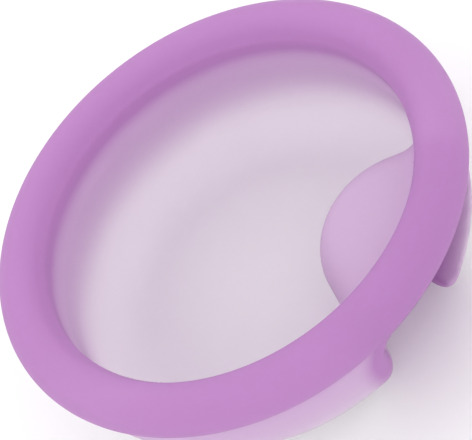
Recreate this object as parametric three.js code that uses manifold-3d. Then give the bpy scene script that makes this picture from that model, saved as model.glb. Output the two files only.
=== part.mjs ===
// A soft silicone cupping cup: a thick rolled rim ring, a shallow thin-walled bowl with a flat floor
// and one fingertip recess let into its side wall, just under the ring.
//
// The real cup is one moulding. Here it is split into its zones, where the thickness or the job
// changes, and neighbouring zones keep a fine gap, so that each zone is a solid of its own.
//
// Millimetres, +Z out of the mouth. The cup stands on its floor, which is the plane z = 0, and the
// axis of the bowl is x = y = 0. Angles are in degrees from +X towards +Y.

import * as THREE from 'three';
import { mergeVertices } from 'three/addons/utils/BufferGeometryUtils.js';
import Module from 'manifold-3d';

const wasm = await Module();
wasm.setup();

// ---- driving dimensions ----------------------------------------------------------------------------

const rimRadius = 35;            // outside of the rim ring
const ringSection = 6.8;         // thickness of the rim ring
const cupHeight = 23.6;          // floor's underside to the top of the ring
const wallInset = 2;             // how far the wall stands in from the outside of the ring
const wallThickness = 1.4;       // side wall
const floorThickness = 1.4;      // floor
const cornerRadius = 14;         // outside radius between wall and floor
const taperDrop = 2.6;           // from the ring's seat down to where the shoulder starts to thin
const taperHeight = 8;           // height over which it thins down to the wall

const recessWall = 2;            // thickness of the recess's roof and walls
const recessAngle = -48.5;       // direction of the recess's centre under its roof, seen from the axis
const recessInset = 7.4;         // that centre, in from the wall's outside
const recessRadius = 10.7;       // round inner end of the recess under its roof
const recessFootRadius = 4.6;    // the same, where the recess opens at the floor
const recessFootShift = 1;       // the foot's centre lies this much further out along the left side
const recessLeftAngle = -98;     // direction of the recess's straight left side
const recessRightAngle = -22;    // direction of its right side under the roof
const recessFootAngle = -85;     // the same, at the floor
const recessRoofDrop = 1.9;      // the recess's roof below the ring's underside
const recessRoofRounding = 3;    // radius between the recess's roof and its sides
const recessSlopeHeight = 4.5;   // below that rounding, the right side slopes in to the foot's width

const shoulderHeight = 4.1;      // height of the zone under the ring
const cornerHeight = 4.5;        // height of the floor's zones
const gap = 0.3;                 // between neighbouring zones

const aroundSteps = 72;          // facets round the cup
const cornerSteps = 8;           // facets round the floor corner
const ringSteps = 20;            // facets round the ring's section
const tipSteps = 12;             // facets round the recess's inner end
const slopeSteps = 6;            // facets up the recess's sloping side
const roundingSteps = 4;         // facets round the recess's roof edge

// ---- derived dimensions ----------------------------------------------------------------------------

const ringRadius = ringSection / 2;
const ringCentre = rimRadius - ringRadius;
const ringHeight = cupHeight - ringRadius;
const wallRadius = rimRadius - wallInset;
// The ring's underside is cut level where the wall's outer face meets the ring's round section.
const seatAngle = Math.acos((wallRadius - ringCentre) / ringRadius);
const seatHeight = ringHeight - ringRadius * Math.sin(seatAngle);
const ringBore = ringCentre - ringRadius;
// The rounded corner ends below the part of the wall that thickens.
const bowlCorner = Math.min(cornerRadius, seatHeight - taperDrop);
const shoulderFoot = seatHeight - shoulderHeight;
const recessRoof = ringHeight - ringRadius - recessRoofDrop;
const roundingFoot = recessRoof - recessRoofRounding;
const slopeFoot = roundingFoot - recessSlopeHeight;
const recessTip = polar(wallRadius - recessInset, recessAngle);
// The left side is one straight, upright wall, so the foot's centre keeps its distance to that side.
const recessFootTip = polar(recessRadius - recessFootRadius, recessLeftAngle - 90)
  .add(polar(recessFootShift, recessLeftAngle))
  .add(recessTip);
// The flat floor zone stays clear of the recess.
const floorRadius = recessFootTip.length() - recessFootRadius - recessWall - 2 * gap;
const past = 10;                 // how far a cutting tool reaches past what it cuts

function polar(radius, degrees) {
  const angle = THREE.MathUtils.degToRad(degrees);
  return new THREE.Vector2(radius * Math.cos(angle), radius * Math.sin(angle));
}

// ---- solids and cuts -------------------------------------------------------------------------------

// A closed geometry as a manifold, for joining and cutting.
function solid(geometry) {
  geometry.deleteAttribute('normal');
  geometry.deleteAttribute('uv');
  const merged = mergeVertices(geometry, 1e-4);
  const mesh = new wasm.Mesh({
    numProp: 3,
    vertProperties: Float32Array.from(merged.attributes.position.array),
    triVerts: Uint32Array.from(merged.index.array),
  });
  return new wasm.Manifold(mesh);
}

// A profile of [radius, height] points, turned about the Z axis.
function turned(profile) {
  const points = profile.map(([radius, height]) => new THREE.Vector2(radius, height));
  const geometry = new THREE.LatheGeometry(points, aroundSteps);
  geometry.rotateX(Math.PI / 2);
  return solid(geometry);
}

// Points of an arc about (radius, height), between two angles in radians.
function arc(radius, height, r, from, to, steps) {
  const points = [];
  for (let i = 0; i <= steps; i += 1) {
    const angle = from + (to - from) * i / steps;
    points.push([radius + r * Math.cos(angle), height + r * Math.sin(angle)]);
  }
  return points;
}

// A flat disc or washer between two heights, for cutting the cup into its zones.
function slab(low, high, inner = 0) {
  const outer = rimRadius + past;
  if (inner === 0) {
    return turned([[0, low], [outer, low], [outer, high], [0, high]]);
  }
  return turned([[inner, low], [outer, low], [outer, high], [inner, high], [inner, low]]);
}

// ---- bowl ------------------------------------------------------------------------------------------

// The outside of the bowl, filled up to the ring's seat.
function bowlOutside(top) {
  return turned([
    [0, 0],
    ...arc(wallRadius - bowlCorner, bowlCorner, bowlCorner, -Math.PI / 2, 0, cornerSteps),
    [wallRadius, top],
    [0, top],
  ]);
}

// The hollow inside the bowl: a rounded floor corner, a thin wall, a taper, then the ring's bore.
function bowlHollow(top) {
  const radius = bowlCorner - wallThickness;
  const centre = wallRadius - bowlCorner;
  const centreHeight = floorThickness + radius;
  const taperTop = seatHeight - taperDrop;
  const taperFoot = taperTop - taperHeight;
  const footAngle = Math.asin(Math.min(0, taperFoot - centreHeight) / radius);
  const straightWall = taperFoot > centreHeight ? [[centre + radius, taperFoot]] : [];
  return turned([
    [0, floorThickness],
    ...arc(centre, centreHeight, radius, -Math.PI / 2, footAngle, cornerSteps),
    ...straightWall,
    [ringBore, taperTop],
    [ringBore, top],
    [0, top],
  ]);
}

// ---- fingertip recess ------------------------------------------------------------------------------

// The recess's outline at one height: a round inner end with two straight sides that run outwards.
// grow widens it all round, which makes the outside of its own wall.
function recessOutline(z, grow) {
  const slope = THREE.MathUtils.smoothstep(z, slopeFoot, roundingFoot);
  const rounding = recessRoofRounding + grow;
  const rise = Math.max(0, z - roundingFoot);
  const pulledIn = rounding - Math.sqrt(Math.max(0, rounding ** 2 - rise ** 2));
  const radius = THREE.MathUtils.lerp(recessFootRadius, recessRadius, slope) + grow - pulledIn;
  const centre = new THREE.Vector2().lerpVectors(recessFootTip, recessTip, slope);
  const right = THREE.MathUtils.lerp(recessFootAngle, recessRightAngle, slope);
  const length = rimRadius + past;
  const points = [];
  for (let i = 0; i <= tipSteps; i += 1) {
    // from the left side's normal, round the inner end, to the right side's normal
    const normal = THREE.MathUtils.lerp(recessLeftAngle - 90, right - 270, i / tipSteps);
    points.push(polar(radius, normal).add(centre));
  }
  points.unshift(points[0].clone().add(polar(length, recessLeftAngle)));
  points.push(points[points.length - 1].clone().add(polar(length, right)));
  return points;
}

// The recess as a solid: its outlines stacked from below the floor up to the roof.
function recessSolid(grow) {
  const heights = [-past, slopeFoot];
  for (let i = 1; i <= slopeSteps; i += 1) {
    heights.push(THREE.MathUtils.lerp(slopeFoot, roundingFoot, i / slopeSteps));
  }
  for (let i = 1; i <= roundingSteps; i += 1) {
    const rise = Math.sin(i / roundingSteps * Math.PI / 2);
    heights.push(THREE.MathUtils.lerp(roundingFoot, recessRoof + grow, rise));
  }
  return lofted(heights.map((z) => ({ z, outline: recessOutline(z, grow) })));
}

// The recess's full width, carried straight up to the ring.
function recessColumn(grow) {
  const outline = recessOutline(roundingFoot, grow);
  return lofted([roundingFoot, cupHeight].map((z) => ({ z, outline })));
}

// Stacked convex outlines with equal numbers of points, closed at both ends.
function lofted(levels) {
  const count = levels[0].outline.length;
  const positions = [];
  for (const { z, outline } of levels) {
    for (const point of outline) {
      positions.push(point.x, point.y, z);
    }
  }
  const index = [];
  for (let level = 0; level + 1 < levels.length; level += 1) {
    for (let i = 0; i < count; i += 1) {
      const a = level * count + i;
      const b = level * count + (i + 1) % count;
      index.push(a, a + count, b, b, a + count, b + count);
    }
  }
  const top = (levels.length - 1) * count;
  for (let i = 1; i + 1 < count; i += 1) {
    index.push(0, i, i + 1);
    index.push(top, top + i + 1, top + i);
  }
  const geometry = new THREE.BufferGeometry();
  geometry.setAttribute('position', new THREE.Float32BufferAttribute(positions, 3));
  geometry.setIndex(index);
  return solid(geometry);
}

// ---- the zones -------------------------------------------------------------------------------------

const filledBowl = bowlOutside(seatHeight - gap);
const shell = filledBowl.subtract(bowlHollow(cupHeight + past));

// The recess's own wall, with the stretch of shoulder that hangs its roof from the ring.
const recessShell = filledBowl.intersect(recessSolid(recessWall))
  .add(shell.intersect(recessColumn(recessWall)))
  .subtract(recessSolid(0));

const recessRoom = recessSolid(recessWall + gap).add(recessColumn(recessWall + gap));
const plainShell = shell.subtract(recessRoom);

// The rim ring, round above and outside, with a level underside where the wall is seated.
function rimRing() {
  const from = -seatAngle;
  const section = arc(ringCentre, ringHeight, ringRadius, from, Math.PI, ringSteps);
  return turned([...section, [ringBore, seatHeight], section[0]]);
}

const cornerZone = slab(-past, cornerHeight - gap, floorRadius + gap);
const wallZone = slab(cornerHeight, shoulderFoot - gap);
const shoulderZone = slab(shoulderFoot, cupHeight);
const floorZone = turned([[0, -past], [floorRadius, -past], [floorRadius, cornerHeight], [0, cornerHeight]]);

const zones = {
  rim_ring: rimRing(),
  rim_shoulder: plainShell.intersect(shoulderZone),
  bowl_wall: plainShell.intersect(wallZone),
  floor_corner: plainShell.intersect(cornerZone),
  bowl_floor: plainShell.intersect(floorZone),
  recess_roof: recessShell.intersect(shoulderZone),
  recess_wall: recessShell.intersect(wallZone),
  recess_foot: recessShell.intersect(cornerZone),
};

// ---- silicone --------------------------------------------------------------------------------------

// Thick zones look deeper in colour than thin ones, because the silicone is translucent.
const thickColour = 0xbf89c3;
const thinColour = 0xe0c6e3;
const thickZones = ['rim_ring', 'rim_shoulder', 'recess_roof'];

function silicone(name) {
  const color = thickZones.includes(name) ? thickColour : thinColour;
  return new THREE.MeshStandardMaterial({ name: 'silicone', color, roughness: 0.55, metalness: 0 });
}

function piece(name, manifold) {
  const { vertProperties, triVerts } = manifold.getMesh();
  const geometry = new THREE.BufferGeometry();
  geometry.setAttribute('position', new THREE.BufferAttribute(Float32Array.from(vertProperties), 3));
  geometry.setIndex(new THREE.BufferAttribute(Uint32Array.from(triVerts), 1));
  geometry.computeVertexNormals();
  const mesh = new THREE.Mesh(geometry, silicone(name));
  mesh.name = name;
  return mesh;
}

const cup = new THREE.Group();
for (const [name, manifold] of Object.entries(zones)) {
  cup.add(piece(name, manifold));
}

export default cup;
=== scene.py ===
"""Looks for the silicone cupping cup: one continuous translucent silicone skin over the CAD zones.

The skin is the zero surface of a formula, the signed distance to the moulding in millimetres: a round
ring, a shallow bowl that tapers in to it, and a fingertip recess under the ring, all run together with
soft radii as in a mould. It is meshed on a grid and then pulled exactly onto the formula.
"""

import math

import bpy
import numpy as np
from mathutils import Matrix, Vector


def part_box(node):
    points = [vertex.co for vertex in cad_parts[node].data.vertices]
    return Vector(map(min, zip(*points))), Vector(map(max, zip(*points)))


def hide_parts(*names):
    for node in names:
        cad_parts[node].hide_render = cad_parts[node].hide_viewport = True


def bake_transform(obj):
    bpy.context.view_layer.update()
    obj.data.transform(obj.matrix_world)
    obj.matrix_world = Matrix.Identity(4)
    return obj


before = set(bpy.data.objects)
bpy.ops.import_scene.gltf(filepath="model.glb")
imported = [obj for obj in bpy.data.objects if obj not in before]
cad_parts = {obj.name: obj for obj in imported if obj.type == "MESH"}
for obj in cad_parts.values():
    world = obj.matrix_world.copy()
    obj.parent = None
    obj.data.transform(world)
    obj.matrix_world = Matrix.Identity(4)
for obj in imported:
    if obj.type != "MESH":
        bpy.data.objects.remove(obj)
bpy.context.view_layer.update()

MM = 0.001  # the frame is in metres, the formula in millimetres


def height(node, side):
    """The lowest (0) or highest (1) point of a CAD node, in millimetres."""
    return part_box(node)[side].z / MM


# ---- sizes, in millimetres and degrees -------------------------------------------------------------


def polar(radius, degrees):
    return radius * np.array([math.cos(math.radians(degrees)), math.sin(math.radians(degrees))])


RIM_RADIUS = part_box("rim_ring")[1].x / MM
RIM_TOP = height("rim_ring", 1)
RING_RADIUS = 3.4
RING_CENTRE = RIM_RADIUS - RING_RADIUS
RING_HEIGHT = RIM_TOP - RING_RADIUS
RING_BORE = RING_CENTRE - RING_RADIUS
WALL_RADIUS = RIM_RADIUS - 2.0
WALL = 1.4  # thickness of the wall and the floor
CORNER_RADIUS = 14.0
TAPER_TOP = 14.5
TAPER_HEIGHT = 8.0
TAPER_LEAN = 0.9 / TAPER_HEIGHT  # how far the wall's inside leans out, for each millimetre down

RECESS_ROOF = RING_HEIGHT - RING_RADIUS - 1.9
RECESS_ROUNDING = 3.0  # where the roof meets the recess's wall
RECESS_WALL = 2.0  # thickness of the material round the recess
RECESS_LEFT = -98.0  # directions in which the recess's sides run outwards
RECESS_RIGHT = -22.0
RECESS_FOOT_RIGHT = -85.0
RECESS_RADIUS = 10.7
RECESS_FOOT_RADIUS = 4.6
RECESS_TIP = polar(WALL_RADIUS - 7.4, -48.5)
RECESS_FOOT_TIP = (
    RECESS_TIP
    + polar(RECESS_RADIUS - RECESS_FOOT_RADIUS, RECESS_LEFT - 90)
    + polar(1.0, RECESS_LEFT)
)
RECESS_SLOPE_HEIGHT = 4.5  # over which the recess widens from its foot to its top
RECESS_SLOPE = (
    RECESS_ROOF - RECESS_ROUNDING - RECESS_SLOPE_HEIGHT,
    RECESS_ROOF - RECESS_ROUNDING,
)

MOUTH_SOFTNESS = 2.4  # where the recess opens in the wall's outside
INSIDE_SOFTNESS = 3.4  # between the recess's wall and the bowl's inside
TAPER_SOFTNESS = 2.0  # where the wall starts to thicken
RING_SOFTNESS = 1.2  # between the ring and the bowl
EDGE_SOFTNESS = 0.2  # between the bowl's outside and its inside

GRID = 0.5  # the surface net's cell
POLISH_ROUNDS = 4
MARGIN = 1.0  # the grid's, round the cup


# ---- the moulding's formula ----------------------------------------------------------------------


def smooth_step(low, high, x):
    t = np.clip((x - low) / (high - low), 0, 1)
    return t * t * (3 - 2 * t)


def mix(a, b, t):
    return a + (b - a) * t


def soft_max(a, b, radius):
    """The larger of two distances, with a rounded inside corner of about that radius."""
    h = np.clip(0.5 + 0.5 * (a - b) / radius, 0, 1)
    return mix(b, a, h) + radius * h * (1 - h)


def soft_min(a, b, radius):
    return -soft_max(-a, -b, radius)


def rounded_corner(a, b, radius):
    """The inside of two faces that meet in a true arc."""
    a, b = a + radius, b + radius
    return np.hypot(np.maximum(a, 0), np.maximum(b, 0)) + np.minimum(np.maximum(a, b), 0) - radius


def direction(degrees):
    return np.cos(np.radians(degrees)), np.sin(np.radians(degrees))


def recess_field(x, y, z):
    """Distance to the hollow that a fingertip fills: a round inner end with two straight sides that run
    outwards. It is wide under the ring and narrows towards the floor, on its right side only."""
    slope = smooth_step(*RECESS_SLOPE, z)
    px = x - mix(RECESS_FOOT_TIP[0], RECESS_TIP[0], slope)
    py = y - mix(RECESS_FOOT_TIP[1], RECESS_TIP[1], slope)
    sides = []
    for degrees, turn in ((RECESS_LEFT, -90), (mix(RECESS_FOOT_RIGHT, RECESS_RIGHT, slope), 90)):
        along_x, along_y = direction(degrees)
        away_x, away_y = direction(degrees + turn)
        along = px * along_x + py * along_y
        away = px * away_x + py * away_y
        sides.append((away, np.hypot(np.minimum(along, 0), away)))
    (left, to_left), (right, to_right) = sides
    within = np.maximum(left, right)
    outline = np.where(within < 0, within, np.minimum(to_left, to_right))
    outline = outline - mix(RECESS_FOOT_RADIUS, RECESS_RADIUS, slope)
    return rounded_corner(outline, z - RECESS_ROOF, RECESS_ROUNDING)


def cup_field(points):
    """Signed distance to the silicone, below zero inside it."""
    x, y, z = points[..., 0], points[..., 1], points[..., 2]
    r = np.hypot(x, y)
    ring = np.hypot(r - RING_CENTRE, z - RING_HEIGHT) - RING_RADIUS
    bowl = rounded_corner(r - WALL_RADIUS, -z, CORNER_RADIUS)
    recess = recess_field(x, y, z)
    taper = r - RING_BORE - TAPER_LEAN * np.maximum(TAPER_TOP - z, 0)
    hollow = soft_max(bowl + WALL, taper, TAPER_SOFTNESS)
    hollow = soft_max(hollow, RECESS_WALL - recess, INSIDE_SOFTNESS)
    outside = soft_max(bowl, -recess, MOUTH_SOFTNESS)
    shell = soft_max(outside, -hollow, EDGE_SOFTNESS)
    shell = np.maximum(shell, z - RING_HEIGHT)
    return soft_min(ring, shell, RING_SOFTNESS)


# ---- meshing -------------------------------------------------------------------------------------


def slopes(field, points, reach=0.02):
    """The field's gradient at the points."""
    gradient = np.empty_like(points)
    for axis in range(3):
        step = np.zeros(3)
        step[axis] = reach
        gradient[:, axis] = (field(points + step) - field(points - step)) / (2 * reach)
    return gradient


def pull_onto(field, points, rounds=3):
    """Moves points along the gradient until they lie on the field's zero surface."""
    for _ in range(rounds):
        gradient = slopes(field, points)
        steepness = np.maximum((gradient**2).sum(1), 0.25)
        points = points - gradient * (field(points) / steepness)[:, None]
    return points


def surface_net(field, low, high, step):
    """Vertices and quads round the field's zero surface: one vertex in each grid cell that it crosses."""
    axes = [np.arange(a, b + step, step) for a, b in zip(low, high)]
    grid = np.stack(np.meshgrid(*axes, indexing="ij"), -1)
    value = field(grid)
    inside = value < 0
    shape = tuple(n - 1 for n in value.shape)
    total = np.zeros(shape + (3,))
    count = np.zeros(shape)
    crossings = []
    for axis in range(3):
        first = [slice(None)] * 3
        second = [slice(None)] * 3
        first[axis] = slice(0, -1)
        second[axis] = slice(1, None)
        a, b = value[tuple(first)], value[tuple(second)]
        crossed = inside[tuple(first)] != inside[tuple(second)]
        share = np.where(crossed, a / np.where(crossed, a - b, 1), 0)
        place = grid[tuple(first)].copy()
        place[..., axis] += share * step
        others = [n for n in range(3) if n != axis]
        for i in (0, 1):
            for j in (0, 1):
                part = [slice(None)] * 3
                part[others[0]] = slice(i, i + shape[others[0]])
                part[others[1]] = slice(j, j + shape[others[1]])
                part = tuple(part)
                total += np.where(crossed[part][..., None], place[part], 0)
                count += crossed[part]
        crossings.append((axis, others, crossed, inside[tuple(first)]))
    used = count > 0
    number = np.full(shape, -1)
    number[used] = np.arange(used.sum())
    points = total[used] / count[used][:, None]
    quads = []
    for axis, others, crossed, first_inside in crossings:
        at = np.argwhere(crossed)
        corner = [at.copy() for _ in range(4)]
        for k, (i, j) in enumerate(((1, 1), (0, 1), (0, 0), (1, 0))):
            corner[k][:, others[0]] -= i
            corner[k][:, others[1]] -= j
        quad = np.stack([number[tuple(c.T)] for c in corner], 1)
        forward = first_inside[crossed] ^ (axis == 1)
        quad[~forward] = quad[~forward][:, ::-1]
        quads.append(quad)
    return points, np.concatenate(quads)


def even_out(points, quads):
    """Moves each vertex to the middle of its neighbours."""
    total = np.zeros_like(points)
    count = np.zeros(len(points))
    for k in range(4):
        a, b = quads[:, k], quads[:, (k + 1) % 4]
        np.add.at(total, a, points[b])
        np.add.at(total, b, points[a])
        np.add.at(count, a, 1)
        np.add.at(count, b, 1)
    return total / count[:, None]


THICKNESS_BLUR = 6
RECESS_PAINTED_SHADE = 2.6  # painted shade: added to the thickness round the recess, which the photo shows in a deeper colour, so the colour there darkens as if in the hollow's shade
RECESS_PAINTED_SHADE_FADE = 1.5  # over which that painted shade ends


def thickness(field, points, most=8.0, step=0.1):
    """How far the material reaches behind each surface point, straight in, up to the most given."""
    gradient = slopes(field, points)
    inward = -gradient / np.linalg.norm(gradient, axis=1)[:, None]
    found = np.full(len(points), most)
    for depth in np.arange(most, step, -step):
        found[field(points + inward * depth) > 0] = depth
    return found


def moulded(name, field, low, high):
    """A smooth closed mesh object of the field, in metres. Each vertex holds the thickness that sets its
    colour, plus painted shade round the recess."""
    points, quads = surface_net(field, low, high, GRID)
    points = pull_onto(field, points)
    for _ in range(POLISH_ROUNDS):
        points = pull_onto(field, even_out(points, quads), rounds=2)
    mesh = bpy.data.meshes.new(name)
    mesh.from_pydata((points * MM).tolist(), [], quads.tolist())
    mesh.update()
    mesh.shade_smooth()
    thickness_and_painted_shade = thickness(field, points)
    # painted shade: the colour round the recess is deepened by an extra thickness that the moulding does
    # not have
    painted_shade_near_recess = smooth_step(RECESS_WALL + RECESS_PAINTED_SHADE_FADE, RECESS_WALL, recess_field(*points.T))
    thickness_and_painted_shade += RECESS_PAINTED_SHADE * painted_shade_near_recess
    for _ in range(THICKNESS_BLUR):
        thickness_and_painted_shade = even_out(thickness_and_painted_shade[:, None], quads)[:, 0]
    # the thickness attribute holds the real thickness plus the painted shade round the recess
    attribute = mesh.attributes.new("thickness", "FLOAT", "POINT")
    attribute.data.foreach_set("value", thickness_and_painted_shade.astype(np.float32))
    piece = bpy.data.objects.new(name, mesh)
    bpy.context.scene.collection.objects.link(piece)
    return piece


# ---- silicone ------------------------------------------------------------------------------------

THIN_TINT_AND_PAINTED_LIGHT = (0.98, 0.93, 0.985, 1)  # at the wall's thickness; partly the pale tint of thin silicone, partly painted light: near-white for light shining through the thin wall and to lift the shade inside the bowl
THICK_COLOUR = (0.57, 0.27, 0.61, 1)  # at the ring's
TRANSMISSION = 0.35
REFRACTION = 1.3
ROUGHNESS = 0.55
ROUGHNESS_SPREAD = 0.06
GRAIN_SCALE = 900.0  # the matt skin's fine grain
GRAIN_DETAIL = 3.0
GRAIN_STRENGTH = 0.15
GRAIN_DEPTH = 0.0002


def silicone():
    """Tinted silicone with a matt moulded skin: the thicker it is, the deeper its colour; the near-white
    thin parts are partly painted light, and the recess has painted shade.
    """
    material = bpy.data.materials.new("silicone")
    material.use_nodes = True
    nodes, links = material.node_tree.nodes, material.node_tree.links
    shader = nodes["Principled BSDF"]
    # reads the thickness with the painted shade round the recess added in
    depth = nodes.new("ShaderNodeAttribute")
    depth.attribute_name = "thickness"
    share = nodes.new("ShaderNodeMapRange")
    share.inputs["From Min"].default_value = WALL
    share.inputs["From Max"].default_value = 2 * RING_RADIUS
    links.new(depth.outputs["Fac"], share.inputs["Value"])
    # colour by thickness: the tint deepening with thickness, with painted light in the near-white thin
    # parts and painted shade round the recess
    colour = nodes.new("ShaderNodeMix")
    colour.data_type = "RGBA"
    colour.inputs["A"].default_value = THIN_TINT_AND_PAINTED_LIGHT
    colour.inputs["B"].default_value = THICK_COLOUR
    links.new(share.outputs["Result"], colour.inputs["Factor"])
    links.new(colour.outputs["Result"], shader.inputs["Base Color"])
    shader.inputs["Transmission Weight"].default_value = TRANSMISSION
    shader.inputs["IOR"].default_value = REFRACTION
    place = nodes.new("ShaderNodeTexCoord")
    grain = nodes.new("ShaderNodeTexNoise")
    grain.inputs["Scale"].default_value = GRAIN_SCALE
    grain.inputs["Detail"].default_value = GRAIN_DETAIL
    links.new(place.outputs["Object"], grain.inputs["Vector"])
    rough = nodes.new("ShaderNodeMapRange")
    rough.inputs["To Min"].default_value = ROUGHNESS - ROUGHNESS_SPREAD
    rough.inputs["To Max"].default_value = ROUGHNESS + ROUGHNESS_SPREAD
    links.new(grain.outputs["Fac"], rough.inputs["Value"])
    links.new(rough.outputs["Result"], shader.inputs["Roughness"])
    bump = nodes.new("ShaderNodeBump")
    bump.inputs["Strength"].default_value = GRAIN_STRENGTH
    bump.inputs["Distance"].default_value = GRAIN_DEPTH
    links.new(grain.outputs["Fac"], bump.inputs["Height"])
    links.new(bump.outputs["Normal"], shader.inputs["Normal"])
    return material


# ---- the cup -------------------------------------------------------------------------------------

reach = RIM_RADIUS + MARGIN
grid_low = (-reach, -reach, -MARGIN)
grid_high = (reach, reach, RIM_TOP + MARGIN)
skin = moulded("silicone_skin", cup_field, grid_low, grid_high)
skin.data.materials.append(silicone())
print("skin", len(skin.data.vertices), "vertices", len(skin.data.polygons), "faces")
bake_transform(skin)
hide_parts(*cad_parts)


# ---- floor, light and camera ---------------------------------------------------------------------

FLOOR_REACH = 3.0
FLOOR_GAP = 0.0002  # keeps the floor's surface apart from the cup's underside
FLOOR_COLOUR = (0.9, 0.9, 0.9, 1)
FLOOR_ROUGHNESS = 0.9
SKY_STRENGTH = 1.2
KEY_PLACE = (-0.15, 0.3, 0.6)
KEY_SIZE = 0.6
KEY_POWER = 0.3


def studio_floor():
    mesh = bpy.data.meshes.new("studio_floor")
    signs = ((-1, -1), (1, -1), (1, 1), (-1, 1))
    corners = [(x * FLOOR_REACH, y * FLOOR_REACH, -FLOOR_GAP) for x, y in signs]
    mesh.from_pydata(corners, [], [(0, 1, 2, 3)])
    floor = bpy.data.objects.new("studio_floor", mesh)
    bpy.context.scene.collection.objects.link(floor)
    material = bpy.data.materials.new("studio_floor")
    material.use_nodes = True
    shader = material.node_tree.nodes["Principled BSDF"]
    shader.inputs["Base Color"].default_value = FLOOR_COLOUR
    shader.inputs["Roughness"].default_value = FLOOR_ROUGHNESS
    shader.inputs["Specular IOR Level"].default_value = 0.0
    mesh.materials.append(material)


def studio_light():
    world = bpy.data.worlds.new("studio")
    bpy.context.scene.world = world
    world.use_nodes = True
    sky = world.node_tree.nodes["Background"]
    sky.inputs["Color"].default_value = (1, 1, 1, 1)
    sky.inputs["Strength"].default_value = SKY_STRENGTH


def soft_box(name, place, size, power):
    """A square area light aimed at the cup."""
    data = bpy.data.lights.new(name, "AREA")
    data.size = size
    data.energy = power
    light = bpy.data.objects.new(name, data)
    bpy.context.scene.collection.objects.link(light)
    light.location = place
    aim = Vector((0, 0, RING_HEIGHT * MM)) - Vector(place)
    light.rotation_euler = aim.to_track_quat("-Z", "Y").to_euler()


CAMERA_TILT = 44.9  # between the cup's axis and the line of sight, degrees
CAMERA_ROLL = 38.2
CAMERA_DISTANCE = 5.0 * RIM_RADIUS
LENS = 97.3
CAMERA_SHIFT = (0.035, -0.043)


def camera():
    tilt, roll = math.radians(CAMERA_TILT), math.radians(CAMERA_ROLL)
    back = Vector((0, -math.sin(tilt), math.cos(tilt)))
    level = Vector((1, 0, 0))
    upright = back.cross(level)
    right = level * math.cos(roll) - upright * math.sin(roll)
    up = level * math.sin(roll) + upright * math.cos(roll)
    place = Vector((0, 0, RING_HEIGHT)) + back * CAMERA_DISTANCE
    data = bpy.data.cameras.new("camera")
    data.lens = LENS
    data.shift_x, data.shift_y = CAMERA_SHIFT
    data.clip_start = 0.01
    obj = bpy.data.objects.new("camera", data)
    bpy.context.scene.collection.objects.link(obj)
    turn = Matrix((right, up, back)).transposed().to_4x4()
    obj.matrix_world = Matrix.Translation(place * MM) @ turn
    bpy.context.scene.camera = obj


studio_floor()
studio_light()
soft_box("key", KEY_PLACE, KEY_SIZE, KEY_POWER)
camera()
bpy.context.scene.view_settings.view_transform = "Standard"
